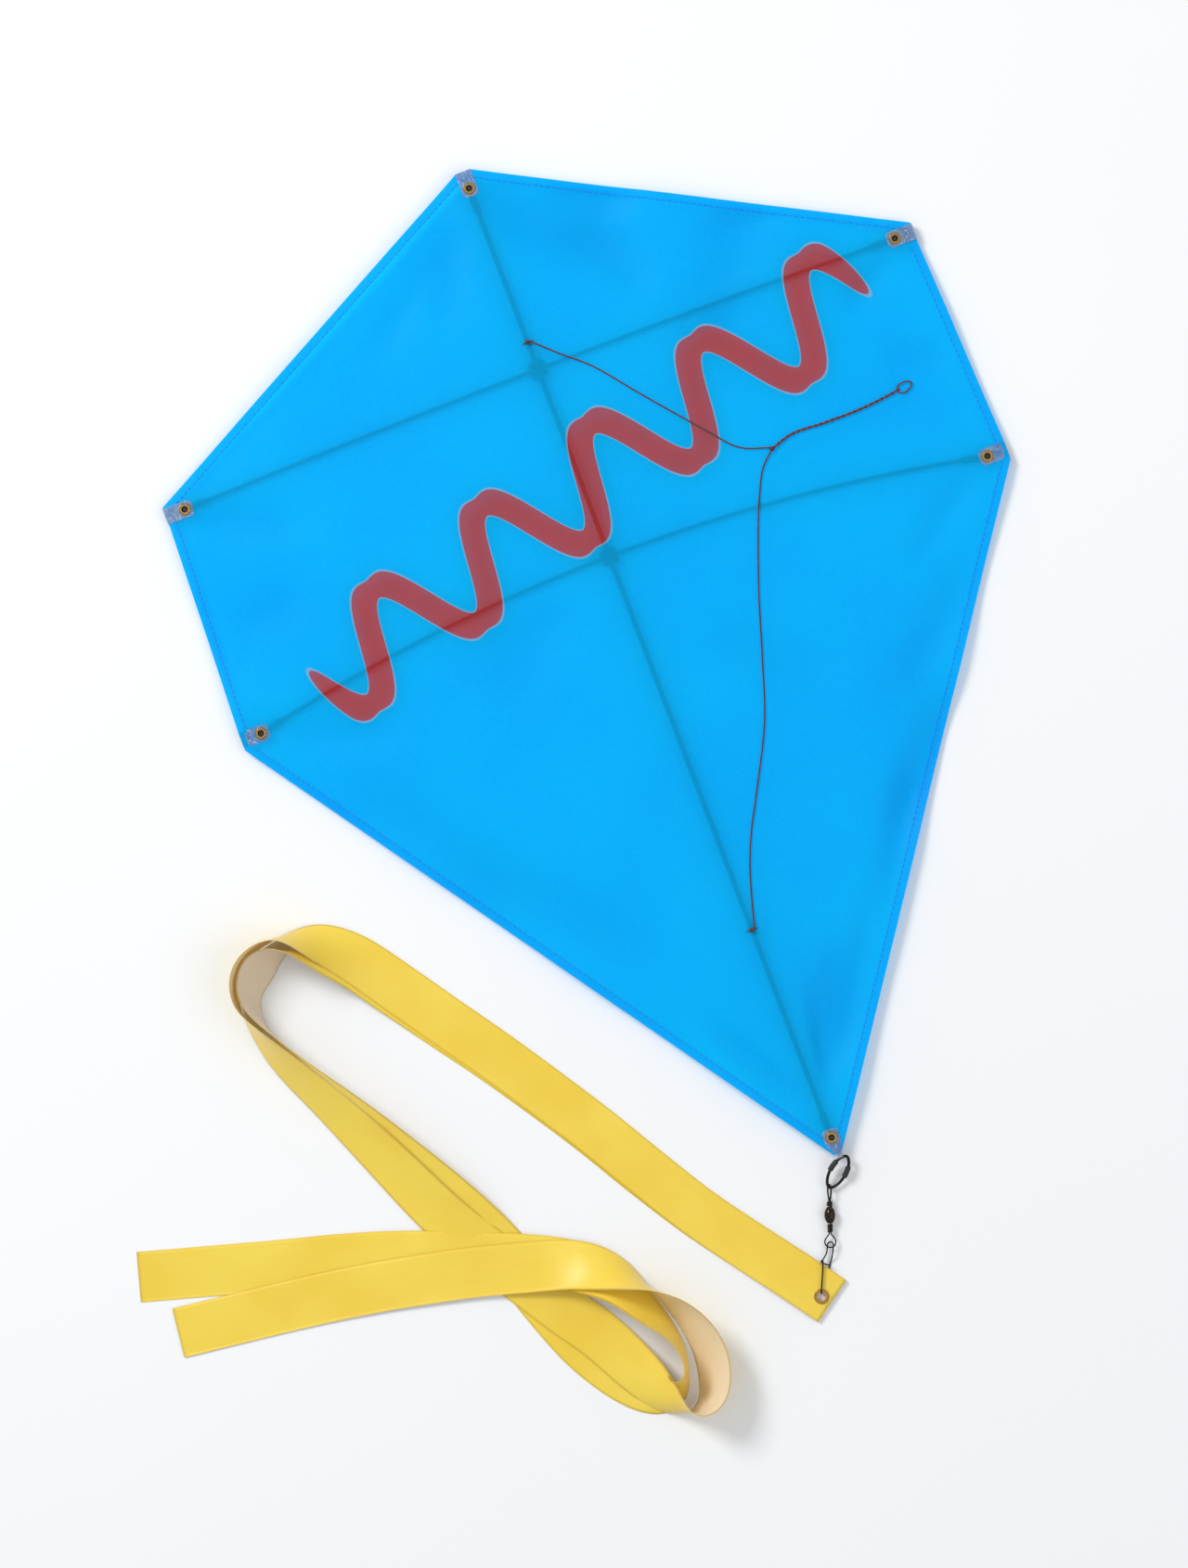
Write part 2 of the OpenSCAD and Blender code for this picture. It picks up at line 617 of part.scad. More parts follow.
// The latch crosses over to the left, and the right side runs under the ribbon and up through the grommet
module snap_wire() {
    low = 0.6 - barrel_z;
    latch = latch_z - barrel_z;
    top_bend = [for (a = [0 : 30 : 180])
        snap_bend * [-sin(a), -cos(a) * cos(snap_roll), -cos(a) * sin(snap_roll)]];
    color([0.16, 0.14, 0.13]) in_snap_frame()
        cord(concat(
            [
                [arm_from + 2, 3.2, latch], [arm_from + 1.2, -3, latch], [arm_from, -4.6, latch],
                [arm_from - 2, -3.4, latch], [6, -1.7, -snap_bend * sin(snap_roll)]
            ],
            top_bend,
            [
                [7, 2.8, -0.6], [13, 2.7, low + 0.3], [20, 2.4, low], [32, 0.6, low],
                [snap_l - 0.6, 0, low + 0.2], [snap_l, 0, low + 0.9], [snap_l, 0, latch]
            ]
        ), snap_wire_d);
}

module snap_arm() {
    arm = arm_z - barrel_z;
    color([0.16, 0.14, 0.13]) in_snap_frame()
        cord([[snap_l + 0.3, 0, arm], [20, -2.2, arm], [arm_from, -3.4, arm], [arm_from - 1.4, -3.6, arm]],
            snap_wire_d);
}

// Grommet through both ends of the tail ribbon
module tail_grommet() {
    color([0.8, 0.78, 0.7]) translate([grommet_x, grommet_y, 0])
        eyelet_shape(grommet_d, grommet_hole, 3.3, 2);
}

module streamer(run) {
    color([0.94, 0.81, 0.28]) translate([grommet_x, grommet_y, 0])
        difference() {
            ribbon(run);
            translate([0, 0, -1]) cylinder(h = 8, r = grommet_hole / 2 + eyelet_wall + 0.1);
        }
}

module upper_streamer() { streamer(upper_run); }
module lower_streamer() { streamer(lower_run); }

sail();
sail_hem();
spine();
upper_spar();
lower_spar();
nose_cap();
tail_cap();
upper_left_cap();
upper_right_cap();
lower_left_cap();
lower_right_cap();
upper_saddle();
lower_saddle();
nose_tab();
tail_tab();
upper_left_tab();
upper_right_tab();
lower_left_tab();
lower_right_tab();
nose_eyelet();
tail_eyelet();
upper_left_eyelet();
upper_right_eyelet();
lower_left_eyelet();
lower_right_eyelet();
upper_bridle_tie();
lower_bridle_tie();
upper_leg_knot();
lower_leg_knot();
bridle_upper_leg();
bridle_lower_leg();
bridle_knot();
tow_line();
tow_loop();
tail_ring();
ring_sleeves();
swivel_upper_eye();
swivel_barrel();
swivel_lower_eye();
snap_wire();
snap_arm();
tail_grommet();
upper_streamer();
lower_streamer();
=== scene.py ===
import math
import random

import bmesh
import bpy
from mathutils import Matrix, Vector


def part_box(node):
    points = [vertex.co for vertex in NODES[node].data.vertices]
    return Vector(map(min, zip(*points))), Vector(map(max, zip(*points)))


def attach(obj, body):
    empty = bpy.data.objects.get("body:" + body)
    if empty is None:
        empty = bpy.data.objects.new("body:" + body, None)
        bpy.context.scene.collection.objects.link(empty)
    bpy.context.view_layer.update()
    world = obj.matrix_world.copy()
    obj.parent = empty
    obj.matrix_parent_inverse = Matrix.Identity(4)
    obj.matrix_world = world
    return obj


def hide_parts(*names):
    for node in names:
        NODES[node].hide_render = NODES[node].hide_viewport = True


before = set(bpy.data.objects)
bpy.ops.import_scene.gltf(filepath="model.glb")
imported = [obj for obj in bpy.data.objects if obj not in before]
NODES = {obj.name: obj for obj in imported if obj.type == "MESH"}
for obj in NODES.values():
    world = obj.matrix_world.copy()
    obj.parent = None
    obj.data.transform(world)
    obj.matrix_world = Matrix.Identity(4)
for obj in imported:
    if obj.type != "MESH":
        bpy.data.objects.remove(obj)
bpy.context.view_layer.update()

MM = 0.001


# ---------------------------------------------------------------- camera

def add_camera():
    """Straight down on the kite, turned so that the spine leans to the left."""
    right = Vector((0.9343, -0.3567, 0))
    up = Vector((0.3567, 0.9343, 0))
    target = Vector((-0.072, -0.023, 0))
    distance = 3.2
    width = 0.896
    data = bpy.data.cameras.new("camera")
    data.sensor_fit = "HORIZONTAL"
    data.sensor_width = 36
    data.lens = 36 * distance / width
    camera = bpy.data.objects.new("camera", data)
    turn = Matrix((right, up, (0, 0, 1))).transposed().to_4x4()
    camera.matrix_world = Matrix.Translation(target + Vector((0, 0, distance))) @ turn
    bpy.context.collection.objects.link(camera)
    bpy.context.scene.camera = camera
    return right, up


PICTURE_RIGHT, PICTURE_UP = add_camera()


# ---------------------------------------------------------------- node helpers

class Nodes:
    """Short names for building one material's node tree."""

    def __init__(self, name):
        self.material = bpy.data.materials.new(name)
        self.material.use_nodes = True
        self.tree = self.material.node_tree
        self.tree.nodes.clear()
        self.output = self.tree.nodes.new("ShaderNodeOutputMaterial")

    def node(self, kind, inputs=None, **settings):
        made = self.tree.nodes.new("ShaderNode" + kind)
        for key, value in settings.items():
            setattr(made, key, value)
        for key, value in (inputs or {}).items():
            self.put(made.inputs[key], value)
        return made

    def put(self, socket, value):
        if isinstance(value, bpy.types.NodeSocket):
            self.tree.links.new(value, socket)
        else:
            socket.default_value = value

    def math(self, operation, a, b=0.0):
        made = self.node("Math", operation=operation)
        for socket, value in zip(made.inputs, (a, b)):
            self.put(socket, value)
        return made.outputs[0]

    def noise(self, scale, vector, detail=3.0, rough=0.5):
        settings = {"Scale": scale, "Vector": vector, "Detail": detail, "Roughness": rough}
        return self.node("TexNoise", settings).outputs["Fac"]

    def mapped(self, value, low, high, to_low=0.0, to_high=1.0):
        made = self.node("MapRange", {"Value": value, "From Min": low, "From Max": high,
                                      "To Min": to_low, "To Max": to_high})
        return made.outputs[0]

    def mix(self, factor, a, b):
        made = self.node("Mix", data_type="RGBA")
        self.put(made.inputs[0], factor)
        self.put(made.inputs[6], a)
        self.put(made.inputs[7], b)
        return made.outputs[2]

    def bump(self, height, distance, strength=1.0, normal=None):
        made = self.node("Bump", {"Height": height, "Distance": distance, "Strength": strength})
        if normal is not None:
            self.put(made.inputs["Normal"], normal)
        return made.outputs[0]

    def place(self):
        return self.node("TexCoord").outputs["Object"]

    def principled(self, **inputs):
        names = {key.replace("_", " "): value for key, value in inputs.items()}
        return self.node("BsdfPrincipled", names)

    def finish(self, shader):
        self.put(self.output.inputs["Surface"], shader)
        return self.material


def rgb(red, green, blue):
    """Linear colour from display values between 0 and 255."""
    def linear(v):
        v /= 255
        return v / 12.92 if v <= 0.04045 else ((v + 0.055) / 1.055) ** 2.4
    return (linear(red), linear(green), linear(blue), 1)


# ---------------------------------------------------------------- mesh helpers

def mesh_object(name, points, faces, materials, smooth=True, face_slots=None, uvs=None):
    mesh = bpy.data.meshes.new(name)
    mesh.from_pydata([tuple(p) for p in points], [], faces)
    for material in materials:
        mesh.materials.append(material)
    mesh.polygons.foreach_set("use_smooth", [smooth] * len(mesh.polygons))
    if face_slots:
        mesh.polygons.foreach_set("material_index", face_slots)
    if uvs:
        layer = mesh.uv_layers.new(name="uv")
        for loop in mesh.loops:
            layer.data[loop.index].uv = uvs[loop.vertex_index]
    mesh.update()
    made = bpy.data.objects.new(name, mesh)
    bpy.context.collection.objects.link(made)
    return made


def smooth_route(points, step):
    """Points about step apart on a smooth curve through the given tuples."""
    pts = [Vector(p) for p in points]
    ends = [2 * pts[0] - pts[1]] + pts + [2 * pts[-1] - pts[-2]]
    out = []
    for i in range(1, len(ends) - 2):
        a, b, c, d = ends[i - 1:i + 3]
        ta = (c - a) / 2
        tb = (d - b) / 2
        count = max(2, round((c - b).to_3d().length / step))
        for k in range(count):
            t = k / count
            out.append((2 * t**3 - 3 * t**2 + 1) * b + (t**3 - 2 * t**2 + t) * ta
                       + (3 * t**2 - 2 * t**3) * c + (t**3 - t**2) * tb)
    out.append(pts[-1])
    return out


def headings(points, closed=False):
    n = len(points)
    out = []
    for i in range(n):
        after = points[(i + 1) % n] if closed else points[min(i + 1, n - 1)]
        before = points[i - 1] if closed or i else points[0]
        out.append((after - before).normalized())
    return out


def route_length(points):
    return sum((b - a).length for a, b in zip(points, points[1:]))


def side_frames(points, closed=False):
    """Side and up directions carried along the points without twisting."""
    ways = headings(points, closed)
    up = Vector((0.1, 0.2, 1))
    out = []
    for way in ways:
        up = (up - up.dot(way) * way).normalized()
        out.append((up.cross(way), up))
    return out


def tube_data(points, radius, sides=8, closed=False):
    """Points and faces of a round tube. radius is a number or a list along the points."""
    verts = []
    for i, (p, (left, up)) in enumerate(zip(points, side_frames(points, closed))):
        r = radius[i] if isinstance(radius, list) else radius
        for j in range(sides):
            a = 2 * math.pi * j / sides
            verts.append(p + r * (math.cos(a) * left + math.sin(a) * up))
    faces = []
    rings = len(points)
    for i in range(rings if closed else rings - 1):
        low = i * sides
        high = (i + 1) % rings * sides
        for j in range(sides):
            k = (j + 1) % sides
            faces.append((low + j, low + k, high + k, high + j))
    if not closed:
        faces.append(tuple(reversed(range(sides))))
        faces.append(tuple(range((rings - 1) * sides, rings * sides)))
    return verts, faces


def open_hole(made, centre, radius):
    """Cuts a round hole straight down through a flat mesh."""
    mesh = bmesh.new()
    mesh.from_mesh(made.data)
    near = [v for v in mesh.verts if (v.co.xy - centre.xy).length < radius]
    rim = {w for v in near for f in v.link_faces for w in f.verts} - set(near)
    bmesh.ops.delete(mesh, geom=near, context="VERTS")
    for v in rim:
        v.co.xy = centre.xy + (v.co.xy - centre.xy).normalized() * radius
    mesh.to_mesh(made.data)
    mesh.free()


def joined(parts):
    verts, faces = [], []
    for v, f in parts:
        base = len(verts)
        verts += v
        faces += [tuple(base + i for i in face) for face in f]
    return verts, faces


def strands_data(points, radius, strands, pitch, closed=False):
    """Twisted strands round a centre line, as one set of points and faces."""
    thread = radius / (1 + 1 / math.sin(math.pi / strands))
    reach = radius - thread
    frames = side_frames(points, closed)
    total = route_length(points + points[:1] if closed else points)
    turns = round(total / pitch) if closed else total / pitch
    parts = []
    for s in range(strands):
        line = []
        run = 0.0
        for i, (p, (left, up)) in enumerate(zip(points, frames)):
            if i:
                run += (p - points[i - 1]).length
            a = 2 * math.pi * (s / strands + turns * run / total)
            line.append(p + reach * (math.cos(a) * left + math.sin(a) * up))
        parts.append(tube_data(line, thread, 6, closed))
    return joined(parts)


# ---------------------------------------------------------------- the sail's shape

def to_m(points):
    return [Vector(p) * MM for p in points]


def middle(node):
    low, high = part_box(node)
    return (Vector(low) + Vector(high)) / 2


RIDGE_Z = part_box("sail")[1][2]
SLOPE = 3.4 / 286
HALF_OUTLINE = to_m([(6, 442), (301, 287), (301, 270), (308, 109), (308, 94), (3, -348)])

# Creases: both ends, depth and half width in millimetres
CREASES = [
    ((5, 425), (85, 330), 2.6, 20), ((45, 405), (120, 372), 2.2, 12),
    ((70, 395), (100, 300), 2.4, 18), ((150, 345), (215, 322), 1.6, 10),
    ((190, 345), (120, 250), 1.8, 22), ((-10, 420), (-60, 330), 1.4, 16),
    ((-20, 410), (-120, 330), 1.2, 14), ((10, -300), (60, -190), 2.4, 12),
    ((18, -300), (95, -170), 1.8, 10), ((5, -315), (30, -210), 2.0, 8),
    ((-8, -310), (-60, -215), 1.8, 10), ((120, -150), (210, -40), 2.4, 16),
    ((90, -200), (160, -90), 2.0, 12), ((150, -60), (260, 40), 1.8, 18),
    ((-150, -100), (-250, 60), 1.3, 26), ((-60, -180), (-190, -30), 1.4, 22),
    ((285, 100), (200, 40), 1.4, 12), ((-280, 98), (-190, 60), 1.2, 14),
    ((-285, 275), (-200, 230), 1.2, 16), ((285, 278), (225, 235), 1.4, 12),
    ((240, 200), (298, 180), 1.2, 14), ((-290, 180), (-220, 190), 1.0, 18),
    ((-35, 120), (-130, 60), 1.0, 24), ((40, 60), (130, -20), 1.2, 26)
]


def edge_distance(x, y):
    """Distance to the sail's outline, in metres, inside it."""
    x = abs(x)
    best = HALF_OUTLINE[0].y - y
    for a, b in zip(HALF_OUTLINE, HALF_OUTLINE[1:]):
        way = (b - a).normalized()
        best = min(best, (x - a.x) * way.y - (y - a.y) * way.x)
    return max(best, 0.0)


SPAR_Y = [middle(spar).y for spar in ("upper_spar", "lower_spar")]


def free_of_spars(y):
    """Zero over a spar and one away from it."""
    share = 1.0
    for spar_y in SPAR_Y:
        gap = (y - spar_y) / (13 * MM)
        share *= 1 - math.exp(-gap * gap)
    return share


def sag(x, y):
    """How far the cloth dips below its flat panels, in metres."""
    px, py = x / MM, y / MM
    wave = 0.35 * math.sin(px / 37 + py / 61) + 0.3 * math.sin(px / 23 - py / 44 + 1.3)
    rim = edge_distance(x, y) / MM
    side = 1.1 * math.exp(-(rim / 26) ** 2) * math.sin(py / 21 + 0.6 * math.sin(px / 40))
    return (1.9 * crease_depth(px, py) * free_of_spars(y) + wave + side) * MM


def crease_depth(px, py):
    """Depth of the creases at a place, all in millimetres."""
    total = 0.0
    for (ax, ay), (bx, by), depth, width in CREASES:
        dx, dy = bx - ax, by - ay
        length = math.hypot(dx, dy)
        along = ((px - ax) * dx + (py - ay) * dy) / length**2
        across = ((px - ax) * dy - (py - ay) * dx) / length
        fade = math.exp(-((along - 0.5) / 0.38) ** 4)
        total += depth * fade * math.exp(-(across / width) ** 2)
    return total


# Where the cloth is held: six eyelets and two ties
FIXED = to_m([
    (0, 429), (0, -335), (286, 280), (-286, 280), (292.6, 102), (-292.6, 102), (0, 305), (0, -168)
])


def cloth_z(x, y):
    """Top of the cloth. It follows its panels close to the eyelets, the ridge and the ties."""
    hold = 1 - math.exp(-(abs(x) / (14 * MM)) ** 2)
    for p in FIXED:
        hold *= 1 - math.exp(-(math.hypot(x - p.x, y - p.y) / (16 * MM)) ** 4)
    return RIDGE_Z - abs(x) * SLOPE - hold * sag(x, y)


# ---------------------------------------------------------------- cords

CORD_D = 1.4 * MM


def cord_material():
    n = Nodes("twisted_cord")
    place = n.place()
    colour = n.mix(n.mapped(n.noise(900, place), 0.35, 0.7), rgb(52, 20, 18), rgb(112, 48, 40))
    hair = n.bump(n.noise(5200, place, 2), 0.0003, 0.6)
    twine = n.principled(Base_Color=colour, Roughness=0.75, Sheen_Weight=0.3, Normal=hair)
    return n.finish(twine.outputs[0])


CORD = cord_material()


def lay(route):
    """A route of x, y and lift in millimetres, laid on the cloth."""
    return [Vector((x * MM, y * MM, cloth_z(x * MM, y * MM) + lift * MM)) for x, y, lift in route]


def add_cord(name, node, route, diameter, strands, pitch):
    points = smooth_route(lay(route), 0.45 * MM)
    verts, faces = strands_data(points, diameter / 2, strands, pitch)
    made = mesh_object(name, verts, faces, [CORD])
    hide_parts(node)
    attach(made, "kite")


UPPER_LEG = [
    (2, 305, 1.6), (20, 288, 0.9), (40, 270, 0.9), (65, 239, 0.9), (101, 196, 0.9), (120, 175, 0.9),
    (142, 166, 1.7)
]
LOWER_LEG = [
    (2, -167, 1.6), (8, -146, 0.9), (16, -121, 0.9), (26, -98, 0.9), (38, -76, 0.9), (64, -26, 0.9),
    (80, 20, 0.9), (95, 67, 0.9), (112, 113, 0.9), (122, 136, 0.9), (131, 153, 0.9), (142, 164, 1.7)
]
TOW_LINE = [
    (144, 165, 1.9), (162, 170, 1.4), (188, 169, 1.4), (215, 169, 1.4), (238, 171, 1.4), (249, 173, 1.2)
]

add_cord("upper_leg", "bridle_upper_leg", UPPER_LEG, CORD_D, 3, 2.6 * MM)
add_cord("lower_leg", "bridle_lower_leg", LOWER_LEG, CORD_D, 3, 2.6 * MM)
add_cord("doubled_line", "tow_line", TOW_LINE, 2 * CORD_D - 0.4 * MM, 2, 9 * MM)


# ---------------------------------------------------------------- ribbon

RIBBON_W = 38 * MM
RIBBON_T = 0.5 * MM


def ribbon_material(name, colour, deep, warm):
    n = Nodes(name)
    uv = n.node("UVMap", uv_map="uv").outputs[0]
    parts = n.node("SeparateXYZ", {"Vector": uv})
    across, along = parts.outputs[0], parts.outputs[1]
    place = n.place()
    # Fine ribs across the ribbon, and a plain selvedge at both edges
    ribs = n.math("SINE", n.math("MULTIPLY", along, 2 * math.pi / (0.55 * MM)))
    threads = n.math("SINE", n.math("MULTIPLY", across, 2 * math.pi / (0.4 * MM)))
    rim = n.math("ABSOLUTE", n.math("SUBTRACT", across, RIBBON_W / 2))
    selvedge = n.mapped(rim, RIBBON_W / 2 - 1.4 * MM, RIBBON_W / 2 - 1.1 * MM)
    broad = n.noise(14, place, 2)
    tone = n.mix(n.mapped(broad, 0.35, 0.68), colour, deep)
    tone = n.mix(n.math("MULTIPLY", selvedge, 0.35), tone, warm)
    drawn = n.node("CombineXYZ", {"X": n.math("MULTIPLY", across, 900.0),
                                  "Y": n.math("MULTIPLY", along, 18.0)}).outputs[0]
    streak = n.node("TexNoise", {"Scale": 1.0, "Detail": 3.0, "Vector": drawn})
    tone = n.mix(n.mapped(streak.outputs["Fac"], 0.3, 0.9, 0.0, 0.25), tone, warm)
    weave = n.bump(n.math("ADD", ribs, n.math("MULTIPLY", threads, 0.5)), 0.00002, 0.35)
    creases = n.bump(n.noise(38, place, 3), 0.0012, 0.35, weave)
    cloth = n.principled(Base_Color=tone, Roughness=0.36, Sheen_Weight=0.3, Sheen_Roughness=0.35,
                         Specular_IOR_Level=0.5, Normal=creases)
    glow = n.node("BsdfTranslucent", {"Color": tone, "Normal": creases})
    return n.finish(n.node("MixShader", {0: 0.28, 1: cloth.outputs[0], 2: glow.outputs[0]}).outputs[0])


YELLOW = ribbon_material("ribbon_yellow", rgb(255, 230, 94), rgb(252, 220, 76), rgb(240, 202, 56))
CREAM = ribbon_material("ribbon_cream", rgb(248, 236, 214), rgb(243, 228, 200), rgb(230, 209, 172))

# Routes from the grommet: x, y, height of the lower edge and roll about the run
UPPER_RUN = [
    (6, -6, 3, 0), (-13, 21, 3, 0), (-35, 51, 2, 0), (-64, 92, 1.1, 0), (-91, 137, 1.1, 0),
    (-119, 185, 1.1, 0), (-161, 251, 1.1, 0), (-191, 295, 1.1, 0), (-216, 332, 1.1, 4),
    (-239, 365, 1.1, 18), (-262, 388, 1.1, 50), (-287, 399, 1.1, 92), (-311, 396, 1.1, 98),
    (-326, 383, 1.1, 98), (-332, 362, 1.1, 92), (-326, 337, 1.1, 74), (-315, 309, 1.1, 56),
    (-292, 264, 1.1, 40), (-269, 213, 1.1, 26), (-247, 163, 1.1, 12), (-226, 125, 1.1, 2),
    (-201, 85, 1.1, 0), (-183, 56, 1.1, 0), (-166, 31, 1.1, 4), (-147, -7, 1.1, 20),
    (-135, -32, 1.1, 52), (-121, -46, 1.1, 90), (-106, -42, 1.1, 118), (-96, -25, 1.1, 130),
    (-93, -2, 1.3, 132), (-100, 25, 1.9, 122), (-116, 51, 2.4, 98), (-138, 74, 2.9, 52),
    (-166, 90, 3.6, 18), (-196, 99, 3.9, 5), (-236, 110, 3.8, 0), (-271, 118, 3.2, 0), (-305, 125, 2.5, 0),
    (-347, 132, 1.6, 0), (-391, 138, 1.1, 0), (-463, 147, 1.1, 0)
]
LOWER_RUN = [
    (6, -6, 2.3, 0), (-13, 21, 2.3, 0), (-35, 51, 1.3, 0), (-64, 91, 0.4, 0), (-92, 136, 0.4, 0),
    (-120, 184, 0.4, 0), (-162, 249, 0.4, 0), (-193, 293, 0.4, 0), (-218, 329, 0.4, 4),
    (-240, 360, 0.4, 18), (-263, 379, 0.4, 50), (-288, 388, 0.4, 104), (-305, 384, 0.4, 132),
    (-318, 372, 0.4, 124), (-322, 357, 0.4, 104), (-316, 333, 0.4, 84), (-303, 303, 0.4, 70),
    (-277, 255, 0.4, 52), (-251, 204, 0.4, 34), (-227, 153, 0.4, 12), (-211, 115, 0.4, 0),
    (-197, 72, 0.4, 0), (-189, 49, 0.4, 0), (-179, 25, 0.4, 0), (-161, -4, 0.4, 0),
    (-144, -21, 0.4, 12), (-129, -28, 0.4, 40), (-117, -20, 0.4, 82), (-112, -5, 0.6, 84),
    (-114, 15, 1, 78), (-126, 40, 1.4, 58), (-142, 68, 2, 38), (-168, 90, 2.4, 14),
    (-201, 107, 2.7, 2), (-241, 124, 2.6, 0), (-287, 142, 1.7, 0), (-331, 156, 0.7, 0),
    (-375, 168, 0.4, 0), (-476, 197, 0.4, 0)
]


GROMMET = middle("tail_grommet")
GROMMET_HOLE = 6.7 / 2 * MM


def ribbon_line(run):
    """Middle line of a streamer and its roll, from its route."""
    start = Vector((GROMMET.x, GROMMET.y, 0))
    return [(start + p.to_3d() * MM, math.radians(max(p.w, 0))) for p in smooth_route(run, 3)]


def ease(points, width):
    """Evens out tight bends along the run, with both ends kept."""
    for _ in range(10):
        before = list(points)
        for i in range(width, len(points) - width):
            points[i] = (before[i - width] + 2 * before[i] + before[i + width]) / 4


def add_streamer(name, node, run, seed):
    """A thin ribbon, yellow on one face and cream on the other, with a soft curl across its width."""
    random.seed(seed)
    line = ribbon_line(run)
    ways = headings([p for p, roll in line])
    columns = 16
    top, bottom, uvs = [], [], []
    travelled = 0.0
    phase = random.uniform(0, 6)
    for i, ((p, roll), way) in enumerate(zip(line, ways)):
        if i:
            travelled += (p - line[i - 1][0]).length
        left = Vector((-way.y, way.x, 0)).normalized()
        across = math.cos(roll) * left + math.sin(roll) * Vector((0, 0, 1))
        face = way.cross(across).normalized()
        centre = p + Vector((0, 0, RIBBON_W / 2 * abs(math.sin(roll))))
        for k in range(columns + 1):
            t = k / columns * 2 - 1
            ripple = 0.00022 * math.sin(travelled * 38 + phase + 1.4 * t) * (1 - t * t)
            at = centre + RIBBON_W / 2 * t * across + face * ripple * abs(math.sin(roll) * 4 + 0.2)
            top.append(at + face * RIBBON_T * 0.4)
            bottom.append(at - face * RIBBON_T * 0.4)
            uvs.append((RIBBON_W * k / columns, travelled))
    rows = len(line)
    width = columns + 1
    ease(top, width)
    ease(bottom, width)
    base = len(top)
    faces, slots = [], []

    def quad(a, b, c, d, slot):
        faces.append((a, b, c, d))
        slots.append(slot)

    for i in range(rows - 1):
        for k in range(columns):
            a = i * width + k
            quad(a, a + width, a + width + 1, a + 1, 0)
            quad(base + a, base + a + 1, base + a + width + 1, base + a + width, 1)
        for k in (0, columns):
            a = i * width + k
            quad(a, base + a, base + a + width, a + width, 0)
    for i in (0, rows - 1):
        for k in range(columns):
            a = i * width + k
            quad(a, a + 1, base + a + 1, base + a, 0)
    made = mesh_object(name, top + bottom, faces, [YELLOW, CREAM], face_slots=slots, uvs=uvs + uvs)
    open_hole(made, GROMMET, GROMMET_HOLE + 1.2 * MM)
    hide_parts(node)
    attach(made, "tail")


add_streamer("streamer_upper", "upper_streamer", UPPER_RUN, 3)
add_streamer("streamer_lower", "lower_streamer", LOWER_RUN, 8)


# ---------------------------------------------------------------- sail

# The printed wave: its length, its height, its steepest slope, half the print's run and its lean
WAVE_LENGTH = 0.102
WAVE_HEIGHT = 34 * MM
WAVE_SLOPE = 2.09
PRINT_REACH = 0.246
PRINT_LEAN = math.radians(16.3)


def sail_colour(n, place):
    """Azure cloth colour with a red wavy print that has a pale outline, and painted shade along the
    creases.
    """
    azure = n.mix(n.mapped(n.noise(9, place, 3), 0.3, 0.7), rgb(0, 194, 255), rgb(0, 184, 255))
    fine = n.mix(n.mapped(n.noise(420, place, 2), 0.35, 0.65, 0, 0.35), azure, rgb(0, 202, 255))
    parts = n.node("SeparateXYZ", {"Vector": place})
    # u runs along the print and v across it
    x = n.math("SUBTRACT", parts.outputs[0], 5.5 * MM)
    y = n.math("SUBTRACT", parts.outputs[1], 190.5 * MM)
    ahead, aside = math.cos(PRINT_LEAN), math.sin(PRINT_LEAN)
    u = n.math("ADD", n.math("MULTIPLY", x, ahead), n.math("MULTIPLY", y, aside))
    v = n.math("SUBTRACT", n.math("MULTIPLY", y, ahead), n.math("MULTIPLY", x, aside))
    turn = n.math("MULTIPLY", u, 2 * math.pi / WAVE_LENGTH)
    wave = n.math("MULTIPLY", n.math("SINE", turn), WAVE_HEIGHT)
    slope = n.math("MULTIPLY", n.math("COSINE", turn), WAVE_SLOPE)
    stretch = n.math("SQRT", n.math("ADD", n.math("MULTIPLY", slope, slope), 1.0))
    gap = n.math("DIVIDE", n.math("ABSOLUTE", n.math("SUBTRACT", v, wave)), stretch)
    past = n.math("MAXIMUM", n.math("SUBTRACT", n.math("ABSOLUTE", u), PRINT_REACH), 0.0)
    reach = n.math("SQRT", n.math("ADD", n.math("MULTIPLY", gap, gap), n.math("MULTIPLY", past, past)))
    swell = n.math("MULTIPLY", n.math("ABSOLUTE", n.math("COSINE", turn)), 2.5 * MM)
    half = n.math("ADD", swell, 8 * MM)
    ink = n.mapped(n.math("SUBTRACT", reach, half), 0.15 * MM, -0.15 * MM)
    line = n.mapped(n.math("SUBTRACT", reach, half), 1.15 * MM, 0.85 * MM)
    # Painted shade: the cloth is darkened along its creases, where it dips towards the floor, by the
    # crease depth kept in the uv layer
    crease_shade = n.node("SeparateXYZ", {"Vector": n.node("UVMap", uv_map="uv").outputs[0]}).outputs[0]
    fine = n.mix(n.math("MULTIPLY", crease_shade, 0.3), fine, rgb(0, 128, 214))
    red = n.mix(n.mapped(n.noise(60, place, 3), 0.35, 0.7), rgb(212, 58, 60), rgb(202, 62, 64))
    outlined = n.mix(line, fine, rgb(150, 190, 224))
    return n.mix(ink, outlined, red)


